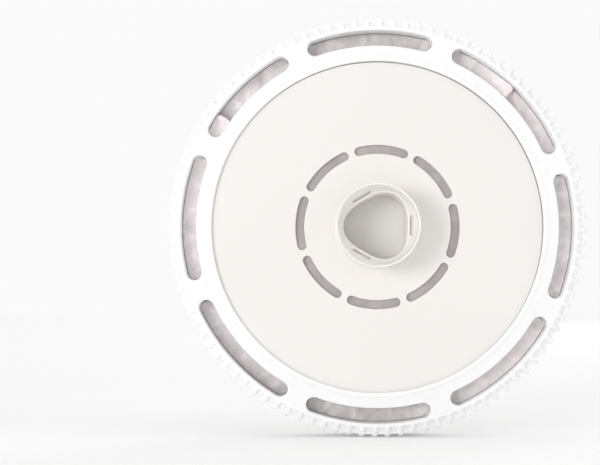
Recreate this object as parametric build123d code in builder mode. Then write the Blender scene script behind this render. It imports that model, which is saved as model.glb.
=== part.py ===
from build123d import *
import math
import os

# Slotted filter disc that plugs on to a shaft. The disc's axis lies along Y and its front faces -Y.
# The origin is on the axis, half way along the hub tube. All sizes are in millimetres.
# Heights are measured from the centre panel's front face, positive towards the front.

# ---- Driving dimensions --------------------------------------------------------------------------
# Toothed ring
TIP_R = 102.6                 # outer radius over the teeth
TOOTH_COUNT = 100
TOOTH_HEIGHT = 1.5            # teeth above the rim's wall
TOOTH_BASE = 2.7
TOOTH_TIP = 1.1
FIRST_TOOTH = 2.8             # angle of the first tooth, degrees
RIM_WALL = 1.8
RIM_FLANGE = 1.0              # width of the flat edge between the pockets and the teeth
BEVEL_WIDTH = 4.1             # radial width of the sloping, ribbed front edge, flange included
BEVEL_DROP = 2.6              # how far the bevel falls back
POCKET_DEPTH = 1.1            # pockets between the ribs, below the bevel
RIB_WIDTH = 1.5
RIB_STEP = 0.6                # ribs stand this far above the flange where they reach it
SLOT_MARGIN = 1.3             # flat face between the bevel and the long slots
SLOT_WIDTH = 7.6
SLOT_DEPTH = 8.8              # from the ring's face to the fleece
COLLAR_WALL = 1.2             # wall round each long slot
INNER_MARGIN = 7.5            # flat face between the long slots and the ring's opening
RING_PLATE = 2.0
RING_PROUD = 1.2              # the ring's face stands this far in front of the centre panel
LEDGE_WIDTH = 2.4             # ledge that carries the centre panel
LEDGE_THICK = 1.5
LIP_RADIUS = 0.9              # rounding of the ring's inner edge
DISC_DEPTH = 21.0             # over the toothed ring

# Webs between the slots
SLOT_COUNT = 8
FIRST_WEB = 19.6              # angle of the first web, degrees
KEYED_WEBS = (1, 2)           # these two long-slot webs stand further round, as an assembly key
KEY_SHIFT = 5.4               # how much further round, degrees
WEB_WIDTH = 10.6              # between the ends of two long slots
SHORT_WEB = 3.2               # between the ends of two short slots

# Centre panel and hub
PANEL_THICK = 2.0
PANEL_GAP = 0.4               # between the panel's edge and the ring
SHORT_SLOT_R = 37.8           # middle of the short slots
SHORT_SLOT_WIDTH = 4.3
FLEECE_WALL = 1.0             # two walls behind the panel that hold the inner fleece
FLEECE_MARGIN = 2.8           # fleece beyond each side of the short slots
HUB_R = 20.0
HUB_HEIGHT = 20.0
HUB_WALL = 1.1
HUB_FILLET = 1.0

# Drive socket
LOBE_COUNT = 3
LOBE_SWING = 1.35             # lobes stand this far out and their sides this far in
SOCKET_DROP = 0.6             # the socket's top edge lies below the hub's edge
SOCKET_FIT = 0.1
SOCKET_EDGE = 0.8             # thickness of the socket's top edge
LIP_HEIGHT = 13.0             # the lobed lip, above the panel's face
SOCKET_WALL = 0.8
SOCKET_INSET = 1.2            # the lobed wall stands this far inside the funnel's outside
SOCKET_FLOOR = 1.5            # thickness of the funnel below the lip
WINDOW_LENGTH = 9.3
WINDOW_WIDTH = 1.3
WINDOW_SETBACK = 0.3          # from the wall of the lobed hole

# Inside
PART_GAP = 0.2                # between pieces that are put together loosely
FLEECE_THICK = 2.0
LAP_ANGLE = 3.0               # each lap of the two fleece strips, degrees
LAP_CENTRES = (47.8, 143.5)
BACK_FLEECE_THICK = 1.4
HOOP_WALL = 1.2
SPOKE_WIDTH = 3.0
POUCH_GAP = 0.3
CAVITY = 4.0                  # room behind the centre panel
INNER_FLEECE_THICK = 3.0

# Back cover
BACK_PLATE = 2.0
SNAP_BEAD = 0.4
SNAP_LENGTH = 0.9
BACK_RIB_WIDTH = 1.4
BACK_RIB_HEIGHT = 5.0
BACK_BOSS_R = 21.0
FLOOR_BOSS = 1.6              # the lobed boss that closes the drive socket

# ---- Worked out from the driving dimensions ------------------------------------------------------
RIM_R = TIP_R - TOOTH_HEIGHT
FLANGE_R = RIM_R - RIM_FLANGE
BEVEL_R = RIM_R - BEVEL_WIDTH
SLOT_OUTER_R = BEVEL_R - SLOT_MARGIN
SLOT_R = SLOT_OUTER_R - SLOT_WIDTH / 2
SLOT_INNER_R = SLOT_OUTER_R - SLOT_WIDTH
OPENING_R = SLOT_INNER_R - INNER_MARGIN
PANEL_R = OPENING_R - PANEL_GAP
INNER_WALL_R = OPENING_R + RIM_WALL
DRUM_R = RIM_R - RIM_WALL

FACE = RING_PROUD
RING_BACK = FACE - DISC_DEPTH
COLLAR_BACK = FACE - SLOT_DEPTH
FLEECE_TOP = COLLAR_BACK - PART_GAP / 2
FLEECE_BACK = FLEECE_TOP - FLEECE_THICK
PLATE_BACK = RING_BACK + SNAP_LENGTH + PART_GAP / 2
PLATE_TOP = PLATE_BACK + BACK_PLATE
BACK_FLEECE_BASE = PLATE_TOP + PART_GAP / 2
BACK_FLEECE_TOP = BACK_FLEECE_BASE + BACK_FLEECE_THICK
FRAME_TOP = FLEECE_BACK - PART_GAP / 2
FRAME_BACK = BACK_FLEECE_TOP + PART_GAP / 2
CELL_INNER_R = INNER_WALL_R + PART_GAP
CELL_OUTER_R = DRUM_R - PART_GAP
PANEL_BACK = -PANEL_THICK
CENTRE_TOP = PANEL_BACK - CAVITY
CENTRE_BACK = CENTRE_TOP - BACK_PLATE
DISH_OUTER_R = OPENING_R - PART_GAP
DISH_INNER_R = DISH_OUTER_R - BACK_PLATE
LEDGE_TOP = PANEL_BACK - PART_GAP / 2
LEDGE_BACK = LEDGE_TOP - LEDGE_THICK
HUB_BORE_R = HUB_R - HUB_WALL
SOCKET_R = HUB_BORE_R - SOCKET_FIT
SOCKET_TOP = HUB_HEIGHT - SOCKET_DROP
LOBE_R = SOCKET_R - SOCKET_INSET - SOCKET_WALL - LOBE_SWING
WINDOW_R = LOBE_R - LOBE_SWING + SOCKET_WALL + WINDOW_SETBACK + WINDOW_WIDTH / 2
INNER_FLEECE_TOP = PANEL_BACK - PART_GAP / 2
FLEECE_INNER_R = SHORT_SLOT_R - SHORT_SLOT_WIDTH / 2 - FLEECE_MARGIN
FLEECE_OUTER_R = SHORT_SLOT_R + SHORT_SLOT_WIDTH / 2 + FLEECE_MARGIN

LONG_WEBS = [
    FIRST_WEB + i * 360 / SLOT_COUNT + (KEY_SHIFT if i in KEYED_WEBS else 0) for i in range(SLOT_COUNT)
]
SHORT_WEBS = [FIRST_WEB + i * 360 / SLOT_COUNT for i in range(SLOT_COUNT)]

SECTION = Plane(origin=(0, HUB_HEIGHT / 2, 0), x_dir=(1, 0, 0), z_dir=(0, 0, -1))


def level(height):
    """The plane parallel to the disc at a height in front of the centre panel's face."""
    return Plane.XZ.offset(height - HUB_HEIGHT / 2)


def annulus(outer, inner):
    """A flat ring, as a sketch at the origin."""
    with BuildSketch() as sketch:
        Circle(outer)
        Circle(inner, mode=Mode.SUBTRACT)
    return sketch.sketch


def hoop(outer, inner, back, front, mode=Mode.ADD):
    """Add or cut a straight ring between two heights in the part being built."""
    extrude(level(back) * annulus(outer, inner), amount=front - back, mode=mode)


def slots(radius, width, webs, web_width):
    """Curved slots with round ends that leave a web at each angle, as one sketch."""
    margin = math.degrees((web_width + width) / 2 / radius)
    with BuildSketch() as sketch:
        for this_web, next_web in zip(webs, webs[1:] + [webs[0] + 360]):
            span = next_web - this_web - 2 * margin
            SlotArc(CenterArc((0, 0), radius, this_web + margin, span), width)
    return sketch.sketch


def sector(outer, inner, start, end):
    """The part of a flat ring between two angles, as a sketch."""
    with BuildSketch() as sketch:
        with BuildLine():
            CenterArc((0, 0), outer, start, end - start)
            CenterArc((0, 0), inner, start, end - start)
            for angle in (start, end):
                Line(polar(inner, angle), polar(outer, angle))
        make_face()
    return sketch.sketch


def polar(radius, angle):
    """The flat point at a radius and an angle in degrees."""
    return radius * math.cos(math.radians(angle)), radius * math.sin(math.radians(angle))


def lobed(radius, swing):
    """A rounded three-sided outline: the radius swings in and out once for each lobe."""
    steps = 24
    points = []
    for i in range(steps):
        angle = 360 * i / steps
        reach = radius + swing * math.cos(math.radians(LOBE_COUNT * (angle - 180)))
        points.append(polar(reach, angle))
    with BuildSketch() as sketch:
        with BuildLine():
            Spline(*points, periodic=True)
        make_face()
    return sketch.sketch


def circles(builder, radius):
    """The round edges of a part that have a radius, from the front to the back."""
    rounds = builder.edges().filter_by(GeomType.CIRCLE)
    return rounds.filter_by(lambda edge: abs(edge.radius - radius) < 0.01).sort_by(Axis.Y)


def finish(builder, name):
    """Label a finished piece and write it."""
    builder.part.label = name
    export_step(builder.part, f"parts/{name}.step")


os.makedirs("parts", exist_ok=True)
long_slots = slots(SLOT_R, SLOT_WIDTH, LONG_WEBS, WEB_WIDTH)
short_slots = slots(SHORT_SLOT_R, SHORT_SLOT_WIDTH, SHORT_WEBS, SHORT_WEB)

# ---- Toothed ring: front cover with the rim, the ribbed bevel and the long slots -----------------
with BuildSketch() as tooth:
    with BuildLine():
        Polyline(
            (-RIM_WALL / 2, TOOTH_BASE / 2),
            (0, TOOTH_BASE / 2),
            (TOOTH_HEIGHT * 0.85, TOOTH_TIP / 2),
            (TOOTH_HEIGHT, 0),
            (TOOTH_HEIGHT * 0.85, -TOOTH_TIP / 2),
            (0, -TOOTH_BASE / 2),
            (-RIM_WALL / 2, -TOOTH_BASE / 2),
            close=True,
        )
    make_face()

with BuildSketch() as tooth_star:
    with PolarLocations(RIM_R, TOOTH_COUNT, start_angle=FIRST_TOOTH):
        add(tooth.sketch)

with BuildSketch() as rib_star:
    with PolarLocations(BEVEL_R - RIB_WIDTH, TOOTH_COUNT, start_angle=FIRST_TOOTH):
        Rectangle(RIM_R - BEVEL_R + 2 * RIB_WIDTH, RIB_WIDTH, align=(Align.MIN, Align.CENTER))

with BuildPart() as bevel_ribs:
    # One rib for each tooth, cut to the slope of the bevel.
    extrude(level(FACE - BEVEL_DROP - RING_PLATE / 2) * rib_star.sketch, amount=BEVEL_DROP + RING_PLATE)
    with BuildSketch(SECTION):
        with BuildLine():
            Polyline(
                (BEVEL_R - RIB_WIDTH / 2, FACE - RING_PLATE / 2),
                (BEVEL_R - RIB_WIDTH / 2, FACE),
                (BEVEL_R, FACE),
                (RIM_R, FACE - BEVEL_DROP + RIB_STEP),
                (RIM_R, FACE - BEVEL_DROP - RING_PLATE / 2),
                close=True,
            )
        make_face()
    revolve(axis=Axis.Y, mode=Mode.INTERSECT)

with BuildPart() as toothed_ring:
    # The body is a channel turned about the axis: inner wall, face, sloping edge and outer wall.
    with BuildSketch(SECTION):
        with BuildLine():
            Polyline(
                (OPENING_R, PLATE_TOP + PART_GAP / 2),
                (OPENING_R, FACE),
                (BEVEL_R, FACE),
                (BEVEL_R, FACE - POCKET_DEPTH),
                (FLANGE_R, FACE - BEVEL_DROP),
                (RIM_R, FACE - BEVEL_DROP),
                (RIM_R, RING_BACK),
                (DRUM_R, RING_BACK),
                (DRUM_R, FACE - BEVEL_DROP - RING_PLATE),
                (BEVEL_R - RING_PLATE, FACE - RING_PLATE),
                (INNER_WALL_R, FACE - RING_PLATE),
                (INNER_WALL_R, PLATE_TOP + PART_GAP / 2),
                close=True,
            )
        make_face()
    revolve(axis=Axis.Y)
    fillet(circles(toothed_ring, OPENING_R)[0], LIP_RADIUS)
    extrude(level(RING_BACK) * tooth_star.sketch, amount=DISC_DEPTH - BEVEL_DROP)
    add(bevel_ribs.part)
    # A ledge inside the opening carries the centre panel.
    hoop(OPENING_R + LIP_RADIUS, OPENING_R - LEDGE_WIDTH, LEDGE_BACK, LEDGE_TOP)
    # A deep collar stands round each long slot and presses on the fleece.
    collars = offset(long_slots, COLLAR_WALL, mode=Mode.PRIVATE)
    extrude(level(COLLAR_BACK) * collars, amount=FACE - RING_PLATE * 3 / 4 - COLLAR_BACK)
    extrude(level(COLLAR_BACK) * long_slots, amount=SLOT_DEPTH, mode=Mode.SUBTRACT)
    # A bead inside the rear edge holds the back cover.
    hoop(DRUM_R + RIM_WALL / 2, DRUM_R - SNAP_BEAD, RING_BACK, RING_BACK + SNAP_LENGTH)
finish(toothed_ring, "toothed_ring")

# ---- Centre panel with the hub tube --------------------------------------------------------------
with BuildPart() as hub_panel:
    hoop(PANEL_R, HUB_BORE_R, PANEL_BACK, 0)
    hoop(HUB_R, HUB_BORE_R, PANEL_BACK, HUB_HEIGHT)
    for inner_edge in (FLEECE_INNER_R - PART_GAP - FLEECE_WALL, FLEECE_OUTER_R + PART_GAP):
        hoop(inner_edge + FLEECE_WALL, inner_edge, CENTRE_TOP + PART_GAP, PANEL_BACK)
    fillet(circles(hub_panel, HUB_R)[-1], HUB_FILLET)
    fillet(circles(hub_panel, HUB_R)[0], HUB_WALL / 3)
    extrude(level(PANEL_BACK) * short_slots, amount=PANEL_THICK, mode=Mode.SUBTRACT)
finish(hub_panel, "hub_panel")

# ---- Drive socket: a funnel from the round hub to the lobed hole ---------------------------------
hole = lobed(LOBE_R, LOBE_SWING)
with BuildPart() as funnel:
    with BuildSketch(level(SOCKET_TOP)):
        Circle(SOCKET_R - SOCKET_EDGE)
    with BuildSketch(level(LIP_HEIGHT)):
        add(hole)
    loft()

with BuildPart() as drive_socket:
    with BuildSketch(level(LIP_HEIGHT - SOCKET_FLOOR)):
        Circle(SOCKET_R)
    extrude(amount=SOCKET_TOP - LIP_HEIGHT + SOCKET_FLOOR)
    add(funnel.part, mode=Mode.SUBTRACT)
    with BuildSketch(level(CENTRE_TOP)):
        add(lobed(LOBE_R + SOCKET_WALL, LOBE_SWING))
    extrude(amount=LIP_HEIGHT - SOCKET_FLOOR - CENTRE_TOP)
    extrude(level(CENTRE_TOP) * hole, amount=LIP_HEIGHT - CENTRE_TOP, mode=Mode.SUBTRACT)
    # Slit windows beside the lip let catches on the mating shaft take hold.
    with BuildSketch(level(CENTRE_TOP)):
        with PolarLocations(WINDOW_R, LOBE_COUNT):
            Rectangle(WINDOW_WIDTH, WINDOW_LENGTH)
    extrude(amount=SOCKET_TOP - CENTRE_TOP, mode=Mode.SUBTRACT)
finish(drive_socket, "drive_socket")

# ---- Back cover: dished, with the same slots, ribs behind and a boss that closes the drive socket 
with BuildPart() as back_cover:
    hoop(CELL_OUTER_R, DISH_INNER_R, PLATE_BACK, PLATE_TOP)
    hoop(DISH_OUTER_R, DISH_INNER_R, PLATE_BACK, CENTRE_TOP)
    with BuildSketch(level(CENTRE_BACK)):
        Circle(DISH_OUTER_R)
    extrude(amount=BACK_PLATE)
    hoop(BACK_BOSS_R, BACK_BOSS_R - BACK_PLATE, CENTRE_BACK - BACK_RIB_HEIGHT, CENTRE_BACK)
    with BuildSketch(level(CENTRE_BACK)):
        for angle in SHORT_WEBS:
            with Locations(Location((0, 0, 0), (0, 0, angle))):
                with Locations((BACK_BOSS_R - BACK_PLATE / 2, 0)):
                    Rectangle(
                        DISH_INNER_R - BACK_BOSS_R + BACK_PLATE,
                        BACK_RIB_WIDTH,
                        align=(Align.MIN, Align.CENTER),
                    )
    extrude(amount=-BACK_RIB_HEIGHT)
    extrude(level(PLATE_BACK) * long_slots, amount=BACK_PLATE, mode=Mode.SUBTRACT)
    extrude(level(CENTRE_BACK) * short_slots, amount=BACK_PLATE, mode=Mode.SUBTRACT)
    with BuildSketch(level(CENTRE_TOP)):
        add(lobed(LOBE_R - SOCKET_FIT, LOBE_SWING))
    extrude(amount=FLOOR_BOSS)
finish(back_cover, "back_cover")

# ---- Spoke frame: clamps the fleece and divides the ring into cells ------------------------------
with BuildPart() as spoke_frame:
    with BuildSketch(level(FRAME_BACK)):
        add(annulus(CELL_OUTER_R, CELL_OUTER_R - HOOP_WALL))
        add(annulus(CELL_INNER_R + HOOP_WALL, CELL_INNER_R))
        for angle in LONG_WEBS:
            with Locations(Location((0, 0, 0), (0, 0, angle))):
                with Locations((CELL_INNER_R + HOOP_WALL / 2, 0)):
                    Rectangle(
                        CELL_OUTER_R - CELL_INNER_R - HOOP_WALL,
                        SPOKE_WIDTH,
                        align=(Align.MIN, Align.CENTER),
                    )
    extrude(amount=FRAME_TOP - FRAME_BACK)
finish(spoke_frame, "spoke_frame")

# ---- Media pouches: one in each cell -------------------------------------------------------------
pouch_outer = CELL_OUTER_R - HOOP_WALL - POUCH_GAP
pouch_inner = CELL_INNER_R + HOOP_WALL + POUCH_GAP
pouch_margin = math.degrees((SPOKE_WIDTH / 2 + POUCH_GAP) / pouch_inner)
for i, (this_web, next_web) in enumerate(zip(LONG_WEBS, LONG_WEBS[1:] + [LONG_WEBS[0] + 360])):
    with BuildPart() as media_pouch:
        with BuildSketch(level(FRAME_BACK + PART_GAP / 2)):
            add(sector(pouch_outer, pouch_inner, this_web + pouch_margin, next_web - pouch_margin))
        extrude(amount=FRAME_TOP - FRAME_BACK - PART_GAP)
    finish(media_pouch, f"media_pouch_{i + 1}")

# ---- Fleece --------------------------------------------------------------------------------------
short_start, long_start = LAP_CENTRES
strip_thick = (FLEECE_THICK - PART_GAP) / 2
strips = (
    ("outer_fleece_short", short_start, long_start, FLEECE_TOP - strip_thick),
    ("outer_fleece_long", long_start, short_start + 360, FLEECE_BACK),
)
for name, start, end, base in strips:
    with BuildPart() as strip:
        with BuildSketch(level(base)):
            add(sector(CELL_OUTER_R, CELL_INNER_R, start - LAP_ANGLE / 2, end + LAP_ANGLE / 2))
        extrude(amount=strip_thick)
    finish(strip, name)

with BuildPart() as inner_fleece_ring:
    hoop(FLEECE_OUTER_R, FLEECE_INNER_R, INNER_FLEECE_TOP - INNER_FLEECE_THICK, INNER_FLEECE_TOP)
finish(inner_fleece_ring, "inner_fleece_ring")

with BuildPart() as back_fleece_ring:
    hoop(CELL_OUTER_R, CELL_INNER_R, BACK_FLEECE_BASE, BACK_FLEECE_TOP)
finish(back_fleece_ring, "back_fleece_ring")
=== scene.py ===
"""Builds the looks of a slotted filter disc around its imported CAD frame.

The disc's axis lies along Y and its front faces -Y. Inside this file a point on the disc is given by
its radius from the axis, its angle (anticlockwise seen from the front, 0 to the right) and its height
in front of the centre panel's face. Lengths are in metres.
"""

import math

import bmesh
import bpy
import numpy as np
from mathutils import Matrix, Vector


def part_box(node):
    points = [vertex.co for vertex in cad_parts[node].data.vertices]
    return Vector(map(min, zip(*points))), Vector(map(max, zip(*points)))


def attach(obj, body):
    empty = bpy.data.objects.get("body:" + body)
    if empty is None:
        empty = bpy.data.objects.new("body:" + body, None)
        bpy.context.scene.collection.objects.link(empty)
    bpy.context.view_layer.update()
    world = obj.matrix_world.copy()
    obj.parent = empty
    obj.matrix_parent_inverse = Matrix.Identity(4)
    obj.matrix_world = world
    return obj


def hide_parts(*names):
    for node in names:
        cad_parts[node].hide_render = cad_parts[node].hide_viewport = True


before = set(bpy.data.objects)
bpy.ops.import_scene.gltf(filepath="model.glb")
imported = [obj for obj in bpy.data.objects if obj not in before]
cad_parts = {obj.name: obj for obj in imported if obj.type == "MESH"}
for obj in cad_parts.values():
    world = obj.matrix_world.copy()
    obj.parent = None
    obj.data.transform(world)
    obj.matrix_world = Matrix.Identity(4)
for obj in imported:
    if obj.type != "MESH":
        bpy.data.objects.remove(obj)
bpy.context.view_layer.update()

bl_info = {
    "name": "Slotted filter disc",
    "version": (1, 0, 0),
    "blender": (4, 5, 0),
    "location": "View3D > Sidebar > Filter disc",
    "description": "Moulded shells, fleece and studio for a filter disc that plugs on to a shaft",
    "category": "Add Mesh",
}

MM = 0.001
TURN = 2 * math.pi
WELD = 2e-6            # points nearer than this are one point
SPECK = 1e-7           # an edge shorter than this is none

# ---- Places read from the frame ----
RING_LOW, RING_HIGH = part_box("toothed_ring")
PANEL_LOW, PANEL_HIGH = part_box("hub_panel")
SOCKET_LOW, SOCKET_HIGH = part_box("drive_socket")
INNER_FLEECE_LOW, INNER_FLEECE_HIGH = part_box("inner_fleece_ring")
BACK_FLEECE_LOW, BACK_FLEECE_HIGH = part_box("back_fleece_ring")
STRIP_LOW, STRIP_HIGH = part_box("outer_fleece_long")
TOP_STRIP_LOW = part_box("outer_fleece_short")[0]
POUCH_LOW, POUCH_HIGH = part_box("media_pouch_1")

HUB_HEIGHT = 2 * -PANEL_LOW.y           # the origin is half way along the hub tube
PANEL_Y = HUB_HEIGHT / 2
PANEL_R = PANEL_HIGH.x
TIP_R = round(RING_HIGH.x, 4)
SOCKET_R = SOCKET_HIGH.x
FLOOR_Z = RING_LOW.z


def height_of(y):
    """The height in front of the panel's face of a place along the row frame's Y."""
    return PANEL_Y - y


def levels_of(low, high):
    """The heights of a box's back and front."""
    return height_of(high.y), height_of(low.y)


RING_FACE = height_of(RING_LOW.y)
RING_BACK = height_of(RING_HIGH.y)
SOCKET_TOP = height_of(SOCKET_LOW.y)
SOCKET_BASE = height_of(SOCKET_HIGH.y)


# ---- Sizes and colours that a user would change ----
def length(name, description, default, least=0.0):
    """A length property in metres, given in millimetres."""
    return bpy.props.FloatProperty(
        name=name, description=description, default=default * MM, min=least * MM, precision=5,
        unit="LENGTH", subtype="DISTANCE",
    )


def angle(name, description, default):
    """An angle property, given in degrees."""
    return bpy.props.FloatProperty(
        name=name, description=description, default=math.radians(default), subtype="ANGLE",
    )


def colour(name, description, default):
    """A linear colour property."""
    return bpy.props.FloatVectorProperty(
        name=name, description=description, default=default, size=3, min=0.0, max=1.0, subtype="COLOR",
    )


def number(name, description, default, **options):
    """A plain number property."""
    return bpy.props.FloatProperty(name=name, description=description, default=default, **options)


class DISC_PG_ring(bpy.types.PropertyGroup):
    """Sizes of the toothed ring."""

    tooth_count: bpy.props.IntProperty(
        name="Teeth", description="Teeth round the rim", default=100, min=3,
    )
    first_tooth: angle("First tooth", "Angle of the first tooth", 2.8)
    tooth_height: length("Tooth height", "How far the teeth stand out of the rim", 1.5)
    bevel_width: length("Bevel width", "Radial width of the ribbed front edge", 4.1)
    bevel_drop: length("Bevel drop", "How far the front edge falls back", 2.6)
    pocket_depth: length("Pocket depth", "Depth of the pockets between the ribs", 1.1)
    slot_outer: length("Slot outer radius", "Outer edge of the long slots", 95.7)
    slot_width: length("Slot width", "Radial width of the long slots", 7.6)
    slot_depth: length("Slot depth", "From the ring's face to the fleece", 8.8)
    web_width: length("Web width", "Between the ends of two long slots", 10.6)
    first_web: angle("First web", "Angle of the first web", 19.6)
    key_shift: angle("Key shift", "How much further round the two keyed webs stand", 5.4)
    opening: length("Opening radius", "Radius of the ring's opening", 80.6)
    lip_width: length("Lip width", "Width of the raised lip round the opening", 2.1)
    lip_height: length("Lip height", "How far the lip stands above the face", 0.5)
    edge_round: length("Edge rounding", "Rounding of the slots' front edges", 0.45)


class DISC_PG_panel(bpy.types.PropertyGroup):
    """Sizes of the centre panel, the hub and the drive socket."""

    slot_middle: length("Slot radius", "Middle of the short slots", 37.8)
    slot_width: length("Slot width", "Radial width of the short slots", 4.3)
    web_width: length("Web width", "Between the ends of two short slots", 3.2)
    thickness: length("Thickness", "Thickness of the centre panel", 2.0)
    hub_radius: length("Hub radius", "Outside of the hub tube", 20.0)
    hub_wall: length("Hub wall", "Wall of the hub tube", 1.1)
    hub_fillet: length("Hub fillet", "Rounding where the tube meets the panel", 1.0)
    play: length("Play", "How far off centre the panel's edge lies in the ring's opening", 0.44)
    play_angle: angle("Play angle", "Towards which side the panel's edge lies", 237)
    lobe_radius: length("Lobe radius", "Middle radius of the lobed hole", 15.45)
    lobe_swing: length("Lobe swing", "How far the lobes stand out and the sides in", 1.35)
    lip_height: length("Lip height", "Height of the lobed lip above the panel", 13.0)
    window_length: length("Window length", "Length of the slit windows", 9.3)
    window_width: length("Window width", "Width of the slit windows", 1.3)


class DISC_PG_colours(bpy.types.PropertyGroup):
    """Colours of the plastics and the fleece."""

    ring: colour("Ring", "Bright white plastic of the toothed ring", (0.85, 0.85, 0.85))
    panel: colour("Panel", "Warm white plastic of the centre panel", (0.82, 0.79, 0.765))
    # the cover is greyer than the ring's white as painted shade, for the floor of the drive socket that it
    # closes
    cover: colour("Cover", "White plastic of the back cover and the spoke frame", (0.76, 0.745, 0.72))
    fleece: colour("Fleece", "Grey needled fleece of the outer strips", (0.72, 0.67, 0.675))
    inner_fleece: colour("Inner fleece", "Darker fleece behind the short slots", (0.42, 0.385, 0.38))
    pouch: colour("Pouch", "Thin fleece of the media pouches", (0.80, 0.77, 0.76))


def sizes_of_ring():
    return bpy.context.scene.disc_ring


def sizes_of_panel():
    return bpy.context.scene.disc_panel


def colours():
    return bpy.context.scene.disc_colours


# ---- Surfaces worked out with numpy ----
def place(radius, turn, height):
    """x = radius cos(turn), y = panel face - height, z = radius sin(turn), for whole arrays."""
    radius, turn, height = np.broadcast_arrays(radius, turn, height)
    return np.stack([radius * np.cos(turn), PANEL_Y - height, radius * np.sin(turn)], axis=-1)


def lift(flat, height):
    """Flat points (x, z) of an outline, placed at a height in front of the panel."""
    depth = np.full(flat.shape[:-1], PANEL_Y) - height
    return np.stack([flat[..., 0], depth, flat[..., 1]], axis=-1)


def quads(rows, columns, closed_rows=False, closed_columns=False):
    """The quads of a grid of points that is numbered row by row."""
    row = np.arange(rows if closed_rows else rows - 1)[:, None]
    column = np.arange(columns if closed_columns else columns - 1)[None, :]
    row, column = np.broadcast_arrays(row, column)
    below, beside = (row + 1) % rows, (column + 1) % columns
    corners = [row * columns + column, row * columns + beside,
               below * columns + beside, below * columns + column]
    return np.stack(corners, axis=-1).reshape(-1, 4)


def soften(corners, steps=4):
    """A profile of (radius, height, rounding) corners, in millimetres, as rounded points in metres.

    Each corner C with a rounding becomes a parabola from A to B, the points one rounding away on
    its two sides: (1 - t)^2 A + 2 t (1 - t) C + t^2 B for t from 0 to 1.
    """
    corners = np.array(corners, float) * MM
    share = np.linspace(0, 1, steps + 1)[:, None]
    points = []
    for i, (radius, height, rounding) in enumerate(corners):
        corner = np.array([radius, height])
        if rounding == 0 or i in (0, len(corners) - 1):
            points.append(corner[None])
            continue
        ends = []
        for other in (corners[i - 1, :2], corners[i + 1, :2]):
            way = other - corner
            ends.append(corner + way * min(rounding / np.hypot(*way), 0.5))
        points.append((1 - share) ** 2 * ends[0] + 2 * share * (1 - share) * corner + share**2 * ends[1])
    return np.concatenate(points)


def smooth_step(share):
    """3 s^2 - 2 s^3 of a share that is held between 0 and 1."""
    held = np.clip(share, 0, 1)
    return held * held * (3 - 2 * held)


def short_way(turn):
    """Angles brought to between half a turn back and half a turn on."""
    return (turn + math.pi) % TURN - math.pi


def turned(profile, turns):
    """A profile turned about the axis: one row of points for each profile point."""
    return place(profile[:, :1], turns[None, :], profile[:, 1:2])


def arc(radius, turns):
    """Flat points on a circle about the axis."""
    return np.stack([radius * np.cos(turns), radius * np.sin(turns)], axis=-1)


def slot_outline(slot, grown, share, cap):
    """The closed outline of a curved slot, grown by a distance.

    The slot is a band about an arc from one angle to another, with round ends: its outer edge, a half
    circle round the far end, its inner edge, and a half circle round the near end.
    share says where along the band each point of the long edges lies, from 0 to 1.
    """
    middle, half, start, end = slot
    reach = half + grown
    turns = start + share * (end - start)
    swing = np.linspace(0, math.pi, cap + 1)[1:-1, None]
    caps = []
    for turn, side in ((end, 1), (start, -1)):
        at = np.array([turn])
        out, along = arc(1.0, at), arc(1.0, at + math.pi / 2)
        caps.append(arc(middle, at) + side * reach * (np.cos(swing) * out + np.sin(swing) * along))
    outer, inner = arc(middle + reach, turns), arc(middle - reach, turns[::-1])
    return np.concatenate([outer, caps[0], inner, caps[1]])


def cell_outline(inner, outer, turns, cap):
    """The closed outline of the part of a flat ring between the first and the last of the turns."""
    down = np.linspace(outer, inner, cap + 1)[1:-1]
    far_side, near_side = arc(down, turns[-1]), arc(down[::-1], turns[0])
    return np.concatenate([arc(outer, turns), far_side, arc(inner, turns[::-1]), near_side])


def quarter_round(points):
    """The pairs 1 - cos a and 1 - sin a for angles a from 0 to a quarter turn: a rounded edge."""
    return [(1 - math.cos(a), 1 - math.sin(a)) for a in np.linspace(0, math.pi / 2, points)]


def slot_steps(bottom, top, edge, points):
    """A slot's wall, its rounded front edge and the flat beside it, as the steps of slotted_face."""
    bend = [(edge * out, top - edge * down) for out, down in quarter_round(points)]
    flat = 0.15 * MM
    return [(0.0, bottom), *bend, (edge + flat, top), (0.0, top)]


def slotted_face(webs, turns, bounds, slot, web_width, steps, cap=14):
    """Grids for a flat ring with one curved slot between each two webs.

    Each cell is a grid that runs round its slot and outwards through the steps (how far the outline is
    grown, height). The last step is the cell's own border, so neighbouring cells share their points.
    """
    middle, half = slot
    margin = (web_width / 2 + half) / middle
    index = [int(np.argmin(np.abs(short_way(turns - web)))) for web in webs]
    grids = []
    for i, near in enumerate(index):
        following = (i + 1) % len(index)
        count = (index[following] - near) % len(turns)
        cell = np.unwrap(turns[(near + np.arange(count + 1)) % len(turns)])
        web_near = cell[0] + short_way(webs[i] - cell[0])
        web_far = cell[-1] + short_way(webs[following] - cell[-1])
        band = (middle, half, web_near + margin, web_far - margin)
        share = (cell - cell[0]) / (cell[-1] - cell[0])
        rows = [lift(slot_outline(band, grown, share, cap), height) for grown, height in steps[:-1]]
        rows.append(lift(cell_outline(*bounds, cell, cap), steps[-1][1]))
        grids.append((np.stack(rows), False, True))
    return grids


def web_angles(first, shift=0.0, shifted=(1, 2), count=8):
    """The angles of the webs: evenly spaced, with some of them moved further round."""
    webs = first + np.arange(count) * TURN / count
    webs[list(shifted)] += shift
    return [float(web) for web in webs]


def next_webs(webs):
    """For each web, the angle of the web after it."""
    return [*webs[1:], webs[0] + TURN]


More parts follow.
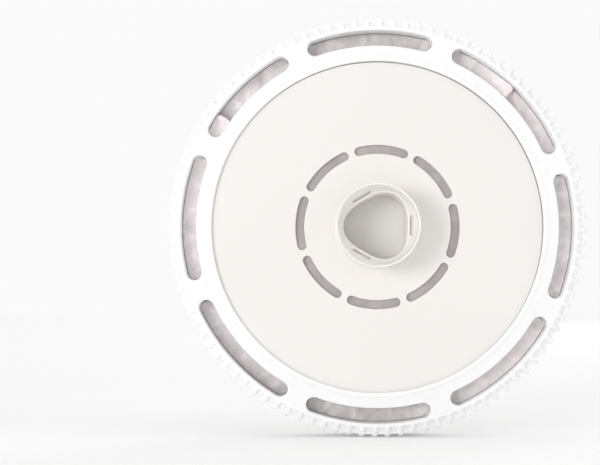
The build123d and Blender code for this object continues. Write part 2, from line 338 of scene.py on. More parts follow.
def build_piece(name, grids, material, crease=32.0):
    """A mesh object from grids of points (points, closed rows, closed columns).

    The grids are welded along their shared edges, the faces of the closed result are turned outwards,
    and edges sharper than the crease angle, in degrees, stay sharp.
    """
    points, faces, first = [], [], 0
    for grid, closed_rows, closed_columns in grids:
        rows, columns = grid.shape[:2]
        points.append(grid.reshape(-1, 3))
        faces.append(quads(rows, columns, closed_rows, closed_columns) + first)
        first += rows * columns
    mesh = bpy.data.meshes.new(name)
    mesh.from_pydata(np.concatenate(points), [], np.concatenate(faces))
    work = bmesh.new()
    work.from_mesh(mesh)
    bmesh.ops.remove_doubles(work, verts=work.verts, dist=WELD)
    bmesh.ops.dissolve_degenerate(work, edges=work.edges, dist=SPECK)
    bmesh.ops.recalc_face_normals(work, faces=work.faces)
    if work.calc_volume(signed=True) < 0:
        bmesh.ops.reverse_faces(work, faces=work.faces)
    work.to_mesh(mesh)
    work.free()
    mesh.shade_smooth()
    mesh.set_sharp_from_angle(angle=math.radians(crease))
    mesh.materials.append(material)
    piece = bpy.data.objects.new(name, mesh)
    bpy.context.scene.collection.objects.link(piece)
    return piece


def stands_for(piece, node):
    """The piece rides on the disc and hides its CAD node."""
    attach(piece, "root")
    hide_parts(node)


def soft_piece(name, node, grids, material):
    """A padded piece, smooth all over."""
    piece = build_piece(name, grids, material, crease=80.0)
    stands_for(piece, node)


# ---- Shader groups shared by the materials ----
def new_group(name, inputs, outputs):
    """An empty shader node group with its sockets, and its input and output nodes."""
    group = bpy.data.node_groups.new(name, "ShaderNodeTree")
    for socket, kind, value in inputs:
        group.interface.new_socket(socket, in_out="INPUT", socket_type=kind).default_value = value
    for socket, kind in outputs:
        group.interface.new_socket(socket, in_out="OUTPUT", socket_type=kind)
    return group, group.nodes.new("NodeGroupInput"), group.nodes.new("NodeGroupOutput")


def set_inputs(node, constants):
    """Give inputs of a node, named or numbered, their constants."""
    for socket, value in constants.items():
        node.inputs[socket].default_value = value


def add_node(tree, kind, links=(), constants=None, **settings):
    """A node with its settings, with some inputs joined to other sockets and some constant."""
    node = tree.nodes.new(kind)
    for key, value in settings.items():
        setattr(node, key, value)
    for socket, source in links:
        tree.links.new(source, node.inputs[socket])
    set_inputs(node, constants or {})
    return node


def maths(tree, operation, *terms):
    """The result of a Math node on terms that are sockets or constants."""
    node = add_node(tree, "ShaderNodeMath", operation=operation)
    for socket, term in zip(node.inputs, terms):
        if isinstance(term, bpy.types.NodeSocket):
            tree.links.new(term, socket)
        else:
            socket.default_value = term
    return node.outputs[0]


def noise(tree, spot, size, constants):
    """The value of a noise texture whose scale comes from a socket."""
    return add_node(tree, "ShaderNodeTexNoise", [("Vector", spot), ("Scale", size)], constants).outputs[0]


def spread_over(tree, value, low, high, start=0.0, end=1.0):
    """A value that goes from low to high, brought to go from start to end and held there."""
    ends = {"From Min": low, "From Max": high, "To Min": start, "To Max": end}
    return add_node(tree, "ShaderNodeMapRange", [("Value", value)], ends).outputs[0]


def moulded_group():
    """Moulded plastic: spark-eroded grain, slow waviness of the wall, and a faint change of shade.

    Height = grain * fine noise + waves * slow noise. Shade goes from 0 to 1 with slow noise. Rough is
    the fine noise again, so that the grain scatters light unevenly.
    """
    tree, taken, given = new_group(
        "moulded_surface",
        [("Grain size", "NodeSocketFloat", 1800.0), ("Grain depth", "NodeSocketFloat", 0.5),
         ("Wave size", "NodeSocketFloat", 28.0), ("Wave depth", "NodeSocketFloat", 0.6)],
        [("Height", "NodeSocketFloat"), ("Shade", "NodeSocketFloat"), ("Rough", "NodeSocketFloat")],
    )
    spot = add_node(tree, "ShaderNodeTexCoord").outputs["Object"]
    fine = noise(tree, spot, taken.outputs["Grain size"], {"Detail": 3.0})
    slow = noise(tree, spot, taken.outputs["Wave size"], {"Detail": 1.0})
    grain = maths(tree, "MULTIPLY", fine, taken.outputs["Grain depth"])
    waves = maths(tree, "MULTIPLY", slow, taken.outputs["Wave depth"])
    tree.links.new(maths(tree, "ADD", grain, waves), given.inputs["Height"])
    tree.links.new(slow, given.inputs["Shade"])
    tree.links.new(fine, given.inputs["Rough"])
    return tree


def fleece_group():
    """Needled fleece: tangled fibres, small tufts and slow blotches.

    Fibres are the thin bright lines of three stretched noises laid across each other: a line is
    bright where its noise is near 0.5. Height is 0.45 fibres + tufts. Shade is 0.35 fibres + tufts +
    blotches, spread over 0 to 1.
    """
    tree, taken, given = new_group(
        "fleece_fibres",
        [("Fibre size", "NodeSocketFloat", 900.0), ("Tuft size", "NodeSocketFloat", 320.0)],
        [("Height", "NodeSocketFloat"), ("Shade", "NodeSocketFloat")],
    )
    spot = add_node(tree, "ShaderNodeTexCoord").outputs["Object"]
    layers = []
    for tilt, stretch in ((0.6, 5.0), (2.1, 6.0), (1.3, 4.0)):
        laid = add_node(tree, "ShaderNodeMapping", [("Vector", spot)],
                        {"Rotation": (0.0, tilt, 0.0), "Scale": (1.0, 1.0, 1.0 / stretch)})
        wisps = noise(tree, laid.outputs[0], taken.outputs["Fibre size"],
                      {"Detail": 2.0, "Distortion": 0.6})
        away = maths(tree, "ABSOLUTE", maths(tree, "SUBTRACT", wisps, 0.5))
        layers.append(spread_over(tree, away, 0.0, 0.07, 1.0, 0.0))
    fibres = maths(tree, "MAXIMUM", maths(tree, "MAXIMUM", layers[0], layers[1]), layers[2])
    tufts = noise(tree, spot, taken.outputs["Tuft size"], {"Detail": 3.0})
    blotches = add_node(tree, "ShaderNodeTexNoise", [("Vector", spot)], {"Scale": 60.0}).outputs[0]
    height = maths(tree, "MULTIPLY_ADD", fibres, 0.45, tufts)
    shade = maths(tree, "ADD", maths(tree, "MULTIPLY_ADD", fibres, 0.35, tufts), blotches)
    tree.links.new(height, given.inputs["Height"])
    tree.links.new(spread_over(tree, shade, 0.6, 1.5), given.inputs["Shade"])
    return tree


def tint(tree, share, base, spread):
    """A colour that goes from darker to lighter than the base with the share."""
    mix = add_node(tree, "ShaderNodeMix", [("Factor", share)], data_type="RGBA")
    set_inputs(mix, {"A": (*shaded(base, 1 - spread), 1.0), "B": (*shaded(base, 1 + spread), 1.0)})
    return mix.outputs["Result"]


def shaded(colour_value, factor):
    """A colour made darker or lighter by a factor."""
    return tuple(min(1.0, channel * factor) for channel in colour_value)


def new_material(name, group_name, make_group):
    """A material with its node tree, its shader and a node that holds a shared group, made once."""
    material = bpy.data.materials.new(name)
    material.use_nodes = True
    tree = material.node_tree
    group = bpy.data.node_groups.get(group_name) or make_group()
    surface = add_node(tree, "ShaderNodeGroup", node_tree=group)
    return material, tree, tree.nodes["Principled BSDF"], surface


def add_bump(tree, shader, height, strength, distance):
    """Bump on a shader's normal, from a height."""
    constants = {"Strength": strength, "Distance": distance}
    bump = add_node(tree, "ShaderNodeBump", [("Height", height)], constants)
    tree.links.new(bump.outputs[0], shader.inputs["Normal"])


def plastic(name, base, roughness, grain=0.5, wave=0.6, spread=0.03, glow=0.35):
    """Moulded plastic: satin, slightly translucent, with grain and a faint change of shade."""
    material, tree, shader, surface = new_material(name, "moulded_surface", moulded_group)
    set_inputs(surface, {"Grain depth": grain, "Wave depth": wave})
    tree.links.new(tint(tree, surface.outputs["Shade"], base, spread), shader.inputs["Base Color"])
    rough = spread_over(tree, surface.outputs["Rough"], 0.0, 1.0, roughness - 0.07, roughness + 0.07)
    tree.links.new(rough, shader.inputs["Roughness"])
    add_bump(tree, shader, surface.outputs["Height"], 0.12, 0.2 * MM)
    set_inputs(shader, {
        "IOR": 1.49, "Specular IOR Level": 0.45,
        "Subsurface Weight": glow, "Subsurface Radius": (1.0, 1.0, 1.0), "Subsurface Scale": 3 * MM,
    })
    return material


def fleece(name, base, deep, proud, spread=0.3):
    """Needled fleece: matt, fibrous, a little sheen where the light grazes it.

    Its colour carries painted shade: it is painted darker where it lies deep and paler where it stands
    proud. Its shade is 0.35 of the fibres' own shade and 0.65 of the share of the way along Y from the
    deep to the proud level.
    """
    material, tree, shader, surface = new_material(name, "fleece_fibres", fleece_group)
    spot = add_node(tree, "ShaderNodeTexCoord").outputs["Object"]
    # painted shade: the share along Y from the deep to the proud level makes deep fleece darker
    depth = add_node(tree, "ShaderNodeSeparateXYZ", [("Vector", spot)]).outputs["Y"]
    own = maths(tree, "MULTIPLY", surface.outputs["Shade"], 0.35)
    share = maths(tree, "MULTIPLY_ADD", spread_over(tree, depth, deep, proud), 0.65, own)
    tree.links.new(tint(tree, share, base, spread), shader.inputs["Base Color"])
    add_bump(tree, shader, surface.outputs["Height"], 0.6, 0.15 * MM)
    set_inputs(shader, {
        "Roughness": 0.95, "Specular IOR Level": 0.2, "Sheen Weight": 0.25, "Sheen Roughness": 0.6,
    })
    return material


# ---- Toothed ring ----
# Places in a tooth's pitch, from -0.5 to 0.5, where the rim has a column of points
TOOTH_SAMPLES = np.array([-0.5, -0.26, -0.21, -0.16, -0.11, 0.0, 0.11, 0.16, 0.21, 0.26])
TOOTH_TIP_SHARE, TOOTH_BASE_SHARE = 0.11, 0.26


def tooth_turns(count, first):
    """Angles round the rim, closer together on the teeth's flanks, and each one's place in its pitch."""
    pitch = TURN / count
    turns = (first + (np.arange(count)[:, None] + TOOTH_SAMPLES[None, :]) * pitch).ravel()
    return turns, np.tile(TOOTH_SAMPLES, count)


def tooth_ridge(place_in_pitch):
    """How much of a tooth stands at each place: 1 on its tip, 0 in the valley, a smooth step between."""
    flank = TOOTH_BASE_SHARE - TOOTH_TIP_SHARE
    return smooth_step((TOOTH_BASE_SHARE - np.abs(place_in_pitch)) / flank)


def rim_grid(sizes, turns, ridge, face_edge, slot_base):
    """The ribbed bevel, the toothed rim, the rear edge and the inside of the outer wall.

    Two profiles run side by side, one along the valleys and one along the ribs and tooth tips. Each
    point is their mean, weighted by how much of a tooth stands at its angle. Their corners are in
    millimetres.
    """
    face, back = RING_FACE / MM, RING_BACK / MM
    tip, edge = TIP_R / MM, face_edge / MM
    rim = tip - sizes.tooth_height / MM
    low = face - sizes.bevel_drop / MM
    floor = face - sizes.pocket_depth / MM
    wall = 1.8
    base, inner = slot_base / MM, rim - wall
    valley = soften([
        (edge, face, 0), (edge + 0.35, face - 0.05, 0.3), (edge + 0.55, floor, 0.5),
        (rim - 1.2, low - 0.35, 0.4), (rim - 0.9, low, 0.2), (rim, low - 0.1, 0.35),
        (rim, back + 0.35, 0.3), (rim - 0.4, back, 0.3), (inner, back, 0),
    ], 3)
    ridge_line = soften([
        (edge, face, 0), (edge + 0.5, face - 0.05, 0.3), (edge + 1.3, face - 0.45, 0.5),
        (rim - 1.2, low + 1.0, 0.4), (rim - 0.4, low + 0.55, 0.4), (tip, low - 1.4, 1.2),
        (tip, back + 0.6, 0.5), (rim - 0.4, back, 0.5), (inner, back, 0),
    ], 3)
    mean = valley[:, None] + ridge[None, :, None] * (ridge_line - valley)[:, None]
    outside = place(mean[..., 0], turns[None, :], mean[..., 1])
    inside = turned(soften([(inner, back, 0), (inner, base, 0), (edge, base, 0)]), turns)
    return [(outside, False, True), (inside, False, True)]


def lip_grid(sizes, turns, cell_inner, slot_base):
    """The face between the slots and the opening, the raised lip, the opening's wall and the ledge.

    The profile's corners are in millimetres.
    """
    face, base, opening = RING_FACE / MM, slot_base / MM, sizes.opening / MM
    lip, rise = opening + sizes.lip_width / MM, sizes.lip_height / MM
    border = cell_inner / MM
    ledge_width, ledge_thickness, clearance = 2.4, 1.5, 0.1
    ledge = -sizes_of_panel().thickness / MM - clearance
    profile = soften([
        (border, face, 0), (lip + 0.35, face, 0.2), (lip, face + rise * 0.8, 0.2),
        (lip - 0.7, face + rise, 0.4), (opening, face + rise, 0.75),
        (opening, ledge, 0.1), (opening - ledge_width, ledge, 0.2),
        (opening - ledge_width, ledge - ledge_thickness, 0.2), (opening, ledge - ledge_thickness, 0.1),
        (opening, base, 0), (border, base, 0),
    ])
    return [(turned(profile, turns), False, True)]


class DISC_OT_ring(bpy.types.Operator):
    """Build the toothed ring: slotted face, ribbed bevel, teeth and raised inner lip"""

    bl_idname = "disc.build_ring"
    bl_label = "Toothed ring"

    def execute(self, context):
        sizes = sizes_of_ring()
        turns, place_in_pitch = tooth_turns(sizes.tooth_count, sizes.first_tooth)
        face_edge = TIP_R - sizes.tooth_height - sizes.bevel_width
        margin = 0.9 * MM
        cell_inner = sizes.slot_outer - sizes.slot_width - margin
        slot_base = RING_FACE - sizes.slot_depth
        half = sizes.slot_width / 2
        webs = web_angles(sizes.first_web, sizes.key_shift)
        plan = (webs, turns, (cell_inner, face_edge), (sizes.slot_outer - half, half), sizes.web_width)
        grids = slotted_face(*plan, slot_steps(slot_base, RING_FACE, sizes.edge_round, 5))
        grids += slotted_face(*plan, [(0.0, slot_base), (0.0, slot_base)])
        grids += rim_grid(sizes, turns, tooth_ridge(place_in_pitch), face_edge, slot_base)
        grids += lip_grid(sizes, turns, cell_inner, slot_base)
        material = plastic("ring_plastic", colours().ring, 0.42, wave=0.5, spread=0.02)
        stands_for(build_piece("ring_shell", grids, material), "toothed_ring")
        return {"FINISHED"}


# ---- Centre panel and hub ----
class DISC_OT_panel(bpy.types.Operator):
    """Build the centre panel with its short slots and the hub tube"""

    bl_idname = "disc.build_panel"
    bl_label = "Centre panel"

    def execute(self, context):
        sizes = sizes_of_panel()
        columns = 480
        turns = np.arange(columns) * TURN / columns
        webs = web_angles(sizes_of_ring().first_web)
        half, thick, edge, margin = sizes.slot_width / 2, sizes.thickness, 0.3 * MM, 1.4 * MM
        bounds = (sizes.slot_middle - half - margin, sizes.slot_middle + half + margin)
        plan = (webs, turns, bounds, (sizes.slot_middle, half), sizes.web_width)
        grids = slotted_face(*plan, slot_steps(-thick, 0.0, edge, 4), cap=10)
        grids += slotted_face(*plan, [(0.0, -thick), (0.0, -thick)], cap=10)
        grids += [(turned(self.tube(sizes, bounds[0]), turns), False, True)]
        grids += [(self.border(sizes, bounds[1], turns), False, True)]
        material = plastic("panel_plastic", colours().panel, 0.40, wave=0.7, spread=0.015)
        stands_for(build_piece("panel_shell", grids, material), "hub_panel")
        return {"FINISHED"}

    @staticmethod
    def tube(sizes, border):
        """The profile of the hub tube and the panel round it, with its corners in millimetres.

        The tube's wall slopes in a little from its edge to the top of the drive socket.
        """
        inner, thick = border / MM, sizes.thickness / MM
        hub, rise = sizes.hub_radius / MM, HUB_HEIGHT / MM
        bore = hub - sizes.hub_wall / MM
        return soften([
            (inner, 0, 0), (hub + 3.0, 0, 0.5), (hub, 0, sizes.hub_fillet / MM), (hub, rise, 0.4),
            (hub - 0.5, rise, 0.3), (bore, SOCKET_TOP / MM + 0.05, 0.1), (bore, -thick, 0),
            (inner, -thick, 0),
        ], 6)

    @staticmethod
    def border(sizes, start, turns):
        """The panel's outer border, which lies off centre in the ring's opening.

        Near the edge each point is moved by the play, less and less over the loose width, and where it
        would pass the opening its radius is held just inside.
        """
        growth, loose_width, clearance = 0.34, 2 * MM, 0.01 * MM
        outer, thick, edge = start / MM, sizes.thickness / MM, PANEL_R / MM + growth
        profile = soften([
            (outer, 0, 0), (edge - 3.0, 0, 0.1), (edge - 1.0, 0, 0.1), (edge, 0, 0.3),
            (edge, -thick, 0.2), (edge - 3.0, -thick, 0.1), (outer, -thick, 0),
        ])
        rim = turned(profile, turns)
        loose = np.clip((profile[:, 0] - PANEL_R) / loose_width + 1, 0, 1)[:, None]
        rim[..., 0] += loose * sizes.play * math.cos(sizes.play_angle)
        rim[..., 2] += loose * sizes.play * math.sin(sizes.play_angle)
        room = sizes_of_ring().opening - clearance
        rim[..., 0::2] *= np.minimum(1, room / np.hypot(rim[..., 0], rim[..., 2]))[..., None]
        return rim


# ---- Drive socket ----
def lobe_reach(turns, radius, swing):
    """radius + swing cos(3 (turn - half a turn)): three lobes out and three sides in."""
    return radius + swing * np.cos(3 * (turns - math.pi))


class DISC_OT_socket(bpy.types.Operator):
    """Build the drive socket: a funnel from the round hub to the lobed lip, with three slit windows"""

    bl_idname = "disc.build_socket"
    bl_label = "Drive socket"

    def execute(self, context):
        sizes = sizes_of_panel()
        # the socket's plastic is the panel's made 2% paler: painted light on the funnel
        piece = build_piece(
            "socket_funnel", [(self.funnel(sizes), True, True)],
            plastic("socket_plastic", shaded(colours().panel, 1.02), 0.42, spread=0.02), crease=38.0,
        )
        stands_for(piece, "drive_socket")
        return {"FINISHED"}

    @staticmethod
    def funnel(sizes):
        """A closed grid that runs round the axis and from the floor up the lobed wall and the funnel.

        The funnel's height rises with a power, the hollow, of the share of the way from the lobed lip to
        the round top, so it is flat beside the lip and steep at the top. Two pairs of rows frame the
        windows along straight lines, and the points between them drop.
        """
        gap, wall, lip_round, setback = 0.01 * MM, 0.8 * MM, 0.5 * MM, 0.3 * MM
        flat, floor, window_depth, draft, hollow = 0.2 * MM, 1.5 * MM, 1.4 * MM, 0.5 * MM, 1.25
        near = sizes.lobe_radius - sizes.lobe_swing + wall + setback
        far = near + sizes.window_width
        window_turn = math.atan2(sizes.window_length / 2, near)
        step = gap / near
        across = np.linspace(-window_turn, window_turn, 9)
        between = np.linspace(window_turn + step, TURN / 3 - window_turn - step, 40)
        third = np.concatenate([across, between])
        turns = np.concatenate([third + i * TURN / 3 for i in range(3)])
        inside = np.tile(np.arange(len(third)) < len(across), 3)
        held = np.clip((turns + TURN / 6) % (TURN / 3) - TURN / 6, -window_turn, window_turn)
        lip = lobe_reach(turns, sizes.lobe_radius, sizes.lobe_swing)
        held_lip = lobe_reach(held, sizes.lobe_radius, sizes.lobe_swing)
        top = SOCKET_R - flat
        near_side, far_side = ((line / np.cos(held) - held_lip) / (top - held_lip) for line in (near, far))
        rise = SOCKET_TOP - sizes.lip_height

        def slope(share):
            """Radius and height on the funnel at a share of the way up it."""
            return lip + share * (top - lip), sizes.lip_height + share**hollow * rise

        rows = [(lip - draft, SOCKET_BASE), (lip - 0.3 * draft, sizes.lip_height - 1.5 * lip_round)]
        reach = np.minimum(lip_round, 0.6 * (top - lip))
        start = reach / (top - lip)
        crest = slope(start)[1]
        rows += [(lip + reach * out, crest - lip_round * down) for out, down in quarter_round(6)]
        rows.append(slope(start + 0.25 * (near_side - start)))
        drop = np.where(inside, window_depth, 0.0)
        for share, aside, falls in ((near_side, 0.0, 0.0), (near_side, gap, drop),
                                    (far_side, -gap, drop), (far_side, 0.0, 0.0)):
            radius, height = slope(share)
            rows.append((radius + aside, height - falls))
        rows += [slope(far_side + part * (1 - far_side)) for part in np.linspace(0.15, 1, 6)]
        under = sizes.lip_height - floor
        rows += [
            (SOCKET_R, SOCKET_TOP), (SOCKET_R + 0.06 * MM, SOCKET_TOP - 0.05 * MM), (SOCKET_R, under),
            (lip + wall, under), (lip + wall, SOCKET_BASE),
        ]
        return np.stack([place(radius, turns, height) for radius, height in rows])


# ---- Back cover and spoke frame ----
class DISC_OT_cover(bpy.types.Operator):
    """Give the back cover and the spoke frame their plastic"""

    bl_idname = "disc.finish_cover"
    bl_label = "Back cover and spoke frame"

    def execute(self, context):
        # both take the cover colour, whose greyness is painted shade
        for node, name in (("back_cover", "cover_plastic"), ("spoke_frame", "frame_plastic")):
            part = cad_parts[node]
            part.data.materials.clear()
            part.data.materials.append(plastic(name, colours().cover, 0.45))
        return {"FINISHED"}


# ---- Fleece ----
CELL_FULLNESS = (2.8, 0.1, 2.6, 3.0, 1.0, 0.1, 2.6, 1.8)     # mm, from the first web round
STRIP_ENDS, LAP = (44.9, 143.8), 3.9                         # degrees, where the two strips meet
FLEECE_WIDTH, INNER_FLEECE_WIDTH = 15.5 * MM, 9.7 * MM
FLEECE_PLAY = 0.1 * MM                                       # inside its cell's outer wall


def folds(turns, radii, middle, seed, count, size):
    """Soft folds and tufts across a fleece band.

    Each is a ridge exp(-(d / width)^2) that dies away along its length, where d is the distance from a
    slanting line through a random place on the band. Their heights are random too, and some are valleys.
    """
    draw = np.random.default_rng(seed)
    fold_length = 5 * MM
    total = np.zeros(np.broadcast(turns, radii).shape)
    for _ in range(count):
        at = turns.min() + draw.random() * np.ptp(turns)
        slant, width = draw.uniform(-0.8, 0.8), draw.uniform(0.8, 2.2) * MM
        height, side = draw.uniform(-0.6, 1.0) * size, draw.uniform(-3, 3) * MM
        along, across = (turns - at) * middle, radii - middle - side
        distance = (along * math.cos(slant) + across * math.sin(slant)) / width
        reach = (along * math.sin(slant) - across * math.cos(slant)) / fold_length
        total += height * np.exp(-(distance**2) - reach**2)
    return total


def bulge(turns, radii, slot, webs, web_width, edge=0.4 * MM, pressed=0.2 * MM):
    """How free the fleece is to swell: 1 inside a slot and 0 where the plastic presses on it.

    It is the smaller of the distance to the slot's long edges and that to its ends, plus how far the
    fleece is pressed against the slot's walls, over the width of the soft edge, smoothed.
    """
    middle, half = slot
    nearest = np.min([np.abs(short_way(turns - web)) for web in webs], axis=0)
    ends = nearest * middle - web_width / 2
    return smooth_step((np.minimum(half - np.abs(radii - middle), ends) + pressed) / edge)


def fullness(turns, webs):
    """How far the fleece swells: each cell's own fullness at its middle, blended between them."""
    middles = (np.array(webs) + next_webs(webs)) / 2
    return np.interp(turns, middles, np.array(CELL_FULLNESS) * MM, period=TURN)


def fleece_band(span, reach, levels, free, seed, count, size, crown, front=True, ramp=0.0):
    """A closed band of fleece between two angles, as grids.

    The cross section is a rounded flat loop between two levels. The side towards the slots carries the
    crown, a height for each angle, and the folds where it is free to swell. A band with a ramp starts
    that much higher than it ends, because its first end lies on the band before it: there it swells to
    a tongue, exp(-(d / width)^2) of the distance d from its start, and its last end is pressed flat.
    """
    (start, end), (inner, outer), (base, top) = span, reach, levels
    rows, column, corner_round = 43, 0.9 * MM, 7 * MM
    tongue, tongue_width, pressed_length, ramp_length = 2 * MM, 12 * MM, 14 * MM, 9 * MM
    closed = end - start > TURN - 0.01
    middle, half = (inner + outer) / 2, (outer - inner) / 2
    turns = np.linspace(start, end, int((end - start) * middle / column), endpoint=not closed)[None, :]
    from_start, to_end = (turns - start) * middle, (end - turns) * middle
    across = np.linspace(-1, 1, rows)[:, None]
    radii = middle + across * half
    rounded = np.sqrt(1 - across**8)
    if not closed:
        tail = np.minimum(from_start, to_end)
        corner = corner_round * (1 - np.sqrt(1 - np.clip(1 - tail / corner_round, 0, 1) ** 2))
        radii = middle + across * (half - corner)
        rounded = rounded * np.sqrt(np.clip(tail / column, 0, 1))
    full = crown(turns)
    if ramp:
        full = full * np.clip(to_end / pressed_length, 0, 1)
        full = full + tongue * np.exp(-((from_start / tongue_width) ** 2))
    swell = free(turns, radii) * (full + folds(turns, radii, middle, seed, count, size))
    centre = (base + top) / 2 + ramp * (1 - smooth_step(from_start / ramp_length))
    near = centre + rounded * ((top - base) / 2 + (swell if front else 0))
    far = centre - rounded * ((top - base) / 2 + (0 if front else swell))
    loop = [place(radii, turns, near), place(radii, turns, far)[::-1]]
    return [(np.concatenate(loop), True, closed)]


class DISC_OT_fleece(bpy.types.Operator):
    """Build the fleece bands that show through the slots"""

    bl_idname = "disc.build_fleece"
    bl_label = "Fleece"

    def execute(self, context):
        ring, panel = sizes_of_ring(), sizes_of_panel()
        outer_y, inner_y, back_y = STRIP_LOW.y, INNER_FLEECE_LOW.y, BACK_FLEECE_HIGH.y
        # the two levels given to each fleece set where its painted shade is darkest (deep) and palest
        # (proud)
        cloth = fleece("fleece", colours().fleece, outer_y - 0.2 * MM, outer_y - 3.6 * MM)
        dark = colours().inner_fleece
        dark_cloth = fleece("inner_fleece", dark, inner_y, inner_y - 0.6 * MM, spread=0.1)
        back_cloth = fleece("back_fleece", colours().fleece, back_y, back_y + 1.2 * MM)
        webs = web_angles(ring.first_web, ring.key_shift)
        long_slot = (ring.slot_outer - ring.slot_width / 2, ring.slot_width / 2)
        short_slot = (panel.slot_middle, panel.slot_width / 2)

        def in_long_slots(turns, radii):
            return bulge(turns, radii, long_slot, webs, ring.web_width)

        def in_short_slots(turns, radii):
            return bulge(turns, radii, short_slot, web_angles(ring.first_web), panel.web_width)

        def swelling(turns):
            return fullness(turns, webs)

        wide = self.reach(BACK_FLEECE_HIGH.x, FLEECE_WIDTH)
        narrow = self.reach(INNER_FLEECE_HIGH.x, INNER_FLEECE_WIDTH)
        outer = levels_of(STRIP_LOW, STRIP_HIGH)
        inner = levels_of(INNER_FLEECE_LOW, INNER_FLEECE_HIGH)
        back = levels_of(BACK_FLEECE_LOW, BACK_FLEECE_HIGH)
        ramp = height_of(TOP_STRIP_LOW.y) - outer[1]
        near, far, lap = (math.radians(a) for a in (*STRIP_ENDS, LAP))
        layers = (
            ("fleece_strip_long", "outer_fleece_long", cloth,
             fleece_band((far, near + TURN + lap), wide, outer, in_long_slots, 5, 320, 0.8 * MM,
                         swelling, ramp=ramp)),
            ("fleece_strip_short", "outer_fleece_short", cloth,
             fleece_band((near, far + lap), wide, outer, in_long_slots, 11, 110, 0.8 * MM,
                         swelling, ramp=ramp)),
            ("fleece_ring_inner", "inner_fleece_ring", dark_cloth,
             fleece_band((0, TURN), narrow, inner, in_short_slots, 23, 120, 0.4 * MM,
                         lambda turns: 0.2 * MM)),
            ("fleece_ring_back", "back_fleece_ring", back_cloth,
             fleece_band((0, TURN), wide, back, in_long_slots, 31, 420, 0.7 * MM,
                         lambda turns: 0.6 * MM, front=False)),
        )
        for name, node, material, grids in layers:
            soft_piece(name, node, grids, material)
        return {"FINISHED"}

    @staticmethod
    def reach(outer, width):
        """The inner and outer radius of a band that lies just inside an outer wall."""
        return outer - FLEECE_PLAY - width, outer - FLEECE_PLAY


class DISC_OT_pouches(bpy.types.Operator):
    """Build the eight pouches of filter granules, one in each cell"""

    bl_idname = "disc.build_pouches"
    bl_label = "Media pouches"

    def execute(self, context):
        # the pouch fleece carries the same painted shade, darker towards the back of the pouch
        cloth = fleece("pouch_fleece", colours().pouch, POUCH_HIGH.y, POUCH_LOW.y, spread=0.06)
        sizes = sizes_of_ring()
        webs = web_angles(sizes.first_web, sizes.key_shift)
        base, top = levels_of(POUCH_LOW, POUCH_HIGH)
        width, wall, web_half, seed = 12.3 * MM, 1.6 * MM, 1.9 * MM, 39
        outer = BACK_FLEECE_HIGH.x - wall
        inner = outer - width
        margin = web_half / inner
        for i, (web, following) in enumerate(zip(webs, next_webs(webs)), start=1):
            grids = self.pillow(web + margin, following - margin, inner, outer, base, top, seed + i)
            soft_piece(f"pouch_{i}", f"media_pouch_{i}", grids, cloth)
        return {"FINISHED"}

    @staticmethod
    def pillow(start, end, inner, outer, base, top, seed):
        """A flat bag: full in the middle, pinched to a seam all round, with granules showing as lumps.

        Half its thickness is t (1 - u^4)^(1/2) (1 - v^4)^(1/2), where u and v run from -1 to 1 along
        and across it, times 0.85 and a small random sum of products of a wave along and one across.
        """
        along, across = np.linspace(-1, 1, 61)[None, :], np.linspace(-1, 1, 17)[:, None]
        swell = np.sqrt(1 - along**4) * np.sqrt(1 - across**4)
        draw = np.random.default_rng(seed)
        waves = np.zeros_like(swell)
        for _ in range(10):
            phase = draw.uniform(0, TURN, 2)
            pitch = draw.uniform(4, 14), draw.uniform(1, 5)
            waves += np.sin(3 * pitch[0] * along + phase[0]) * np.sin(pitch[1] * across + phase[1])
        half = (top - base) / 2 * swell * (0.85 + 0.012 * waves)
        turns = (start + end) / 2 + along * (end - start) / 2
        radii = (inner + outer) / 2 + across * (outer - inner) / 2
        centre = (top + base) / 2
        upper = place(radii, turns, centre + half)
        lower = place(radii[::-1], turns, centre - half[::-1])
        return [(np.concatenate([upper, lower]), True, False)]


# ---- Stage ----
class DISC_PG_stage(bpy.types.PropertyGroup):
    """Camera and lights."""

    distance: length("Camera distance", "From the camera to the centre panel", 610.0)
    camera_side: length("Camera side", "How far the camera stands right of the axis", -14.0, least=-500)
    camera_rise: length("Camera rise", "How far the camera stands above the axis", -27.0, least=-500)
    disc_width: number("Disc width", "Width of the disc as a share of the picture's width", 0.703)
    disc_right: number("Disc right", "From the picture's middle to the disc's, as such a share", 0.1292)
    disc_up: number("Disc up", "From the picture's middle up to the disc's, as such a share", 0.0092)
    key: number("Key light", "Power of the soft box in front", 16.5, min=0, unit="POWER")
    side: number("Side light", "Power of the soft box on the right", 4.0, min=0, unit="POWER")
    rear: number("Rear light", "Power of the soft box behind the disc", 3.0, min=0, unit="POWER")
    ambient: number("Ambient", "Strength of the light that comes from all round", 0.72, min=0)
    sky: number("Backdrop", "Brightness of the backdrop as the camera sees it", 0.955, min=0)
    overhead: number("Overhead light", "Strength of the broad light from above", 0.5, min=0)


def add_lamp(name, kind, power):
    """A light and its object, at the origin and pointing down."""
    light = bpy.data.lights.new(name, kind)
    light.energy = power
    lamp = bpy.data.objects.new(name, light)
    bpy.context.scene.collection.objects.link(lamp)
    return light, lamp


def soft_box(name, at, power, size=0.8):
    """A square light that faces the disc and isn't seen itself."""
    light, lamp = add_lamp(name, "AREA", power)
    light.shape, light.size = "SQUARE", size
    lamp.location = at
    lamp.rotation_euler = Vector(at).to_track_quat("Z", "Y").to_euler()
    lamp.visible_camera = False


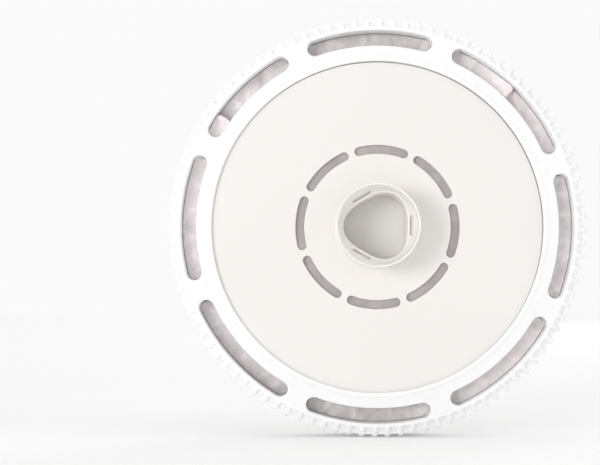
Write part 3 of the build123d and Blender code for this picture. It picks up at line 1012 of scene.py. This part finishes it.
class DISC_OT_stage(bpy.types.Operator):
    """Set up the floor, the lights and the camera"""

    bl_idname = "disc.build_stage"
    bl_label = "Stage"

    def execute(self, context):
        scene, settings = context.scene, context.scene.disc_stage
        scene.view_settings.view_transform = "Standard"
        self.floor()
        self.lights(settings)
        self.camera(scene, settings)
        return {"FINISHED"}

    @staticmethod
    def floor():
        """A wide pale floor just under the lowest teeth, with a faint glow that grows with distance."""
        sides, clearance = 72, 0.05 * MM
        reach = np.array([0.0, 0.3, 1.0, 3.0, 9.0])[:, None]
        flat = arc(reach, np.arange(sides)[None, :] * TURN / sides)
        low = np.full((*flat.shape[:2], 1), FLOOR_Z - clearance)
        grid = np.concatenate([flat, low], axis=-1)
        white = (0.80, 0.80, 0.80)
        paper = plastic("floor_paper", white, 0.9, grain=0.2, wave=0.0, spread=0.003, glow=0.0)
        tree = paper.node_tree
        shader = tree.nodes["Principled BSDF"]
        set_inputs(shader, {"Specular IOR Level": 0.0, "Emission Strength": 1.0})
        spot = add_node(tree, "ShaderNodeTexCoord").outputs["Object"]
        away = add_node(tree, "ShaderNodeVectorMath", [(0, spot)], operation="LENGTH")
        glow = spread_over(tree, away.outputs["Value"], 0.4, 3.0, 0.15, 0.25)
        tree.links.new(glow, shader.inputs["Emission Color"])
        build_piece("floor", [(grid, False, True)], paper, crease=60.0)

    @staticmethod
    def lights(settings):
        """A key box at the front left, weak boxes at the right and behind, and light from all round.

        The camera sees the backdrop at its own brightness, whatever light the disc gets from all round.
        """
        soft_box("key", (-1.10, -1.40, 0.05), settings.key)
        soft_box("side", (1.55, -0.45, 0.35), settings.side)
        soft_box("rear", (0.9, 1.3, 0.9), settings.rear)
        add_lamp("overhead", "SUN", settings.overhead)[0].angle = 1.2
        world = bpy.data.worlds.new("studio")
        bpy.context.scene.world = world
        world.use_nodes = True
        tree = world.node_tree
        around = tree.nodes["Background"]
        seen = add_node(tree, "ShaderNodeBackground")
        for background, strength in ((around, settings.ambient), (seen, settings.sky)):
            set_inputs(background, {"Color": (1.0, 1.0, 1.0, 1.0), "Strength": strength})
        to_camera = add_node(tree, "ShaderNodeLightPath").outputs["Is Camera Ray"]
        light = add_node(tree, "ShaderNodeMixShader",
                         [(0, to_camera), (1, around.outputs[0]), (2, seen.outputs[0])])
        tree.links.new(light.outputs[0], tree.nodes["World Output"].inputs["Surface"])

    @staticmethod
    def camera(scene, settings):
        """A camera that looks along +Y. Its shift moves the picture and not the view."""
        data = bpy.data.cameras.new("camera")
        camera = bpy.data.objects.new("camera", data)
        scene.collection.objects.link(camera)
        away = settings.distance
        camera.location = (settings.camera_side, PANEL_Y - away, settings.camera_rise)
        camera.rotation_euler = (math.pi / 2, 0, 0)
        data.sensor_width = 36.0
        data.lens = data.sensor_width * settings.disc_width * away / (2 * TIP_R)
        metres_across = data.sensor_width / data.lens * away
        data.shift_x = -settings.camera_side / metres_across - settings.disc_right
        data.shift_y = -settings.camera_rise / metres_across - settings.disc_up
        data.clip_start = 0.01
        scene.camera = camera


class DISC_PT_panel(bpy.types.Panel):
    """Buttons and sizes in the 3D view's sidebar"""

    bl_label = "Filter disc"
    bl_idname = "DISC_PT_panel"
    bl_space_type = "VIEW_3D"
    bl_region_type = "UI"
    bl_category = "Filter disc"

    def draw(self, context):
        for operator in OPERATORS:
            self.layout.operator(operator.bl_idname, text=operator.bl_label)
        for name in GROUPS:
            group, box = getattr(context.scene, name), self.layout.box()
            box.label(text=name.removeprefix("disc_").title())
            for key in group.__annotations__:
                box.prop(group, key)


OPERATORS = (DISC_OT_ring, DISC_OT_panel, DISC_OT_socket, DISC_OT_cover,
             DISC_OT_fleece, DISC_OT_pouches, DISC_OT_stage)
GROUPS = {"disc_ring": DISC_PG_ring, "disc_panel": DISC_PG_panel,
          "disc_colours": DISC_PG_colours, "disc_stage": DISC_PG_stage}


def register():
    for made in (*GROUPS.values(), *OPERATORS, DISC_PT_panel):
        bpy.utils.register_class(made)
    for name, group in GROUPS.items():
        setattr(bpy.types.Scene, name, bpy.props.PointerProperty(type=group))


def unregister():
    for name in GROUPS:
        delattr(bpy.types.Scene, name)
    for made in (DISC_PT_panel, *reversed(OPERATORS), *reversed(list(GROUPS.values()))):
        bpy.utils.unregister_class(made)


def main():
    """Build the disc and its stage."""
    register()
    bpy.ops.disc.build_ring()
    bpy.ops.disc.build_panel()
    bpy.ops.disc.build_socket()
    bpy.ops.disc.finish_cover()
    bpy.ops.disc.build_fleece()
    bpy.ops.disc.build_pouches()
    bpy.ops.disc.build_stage()


if __name__ == "__main__":
    main()
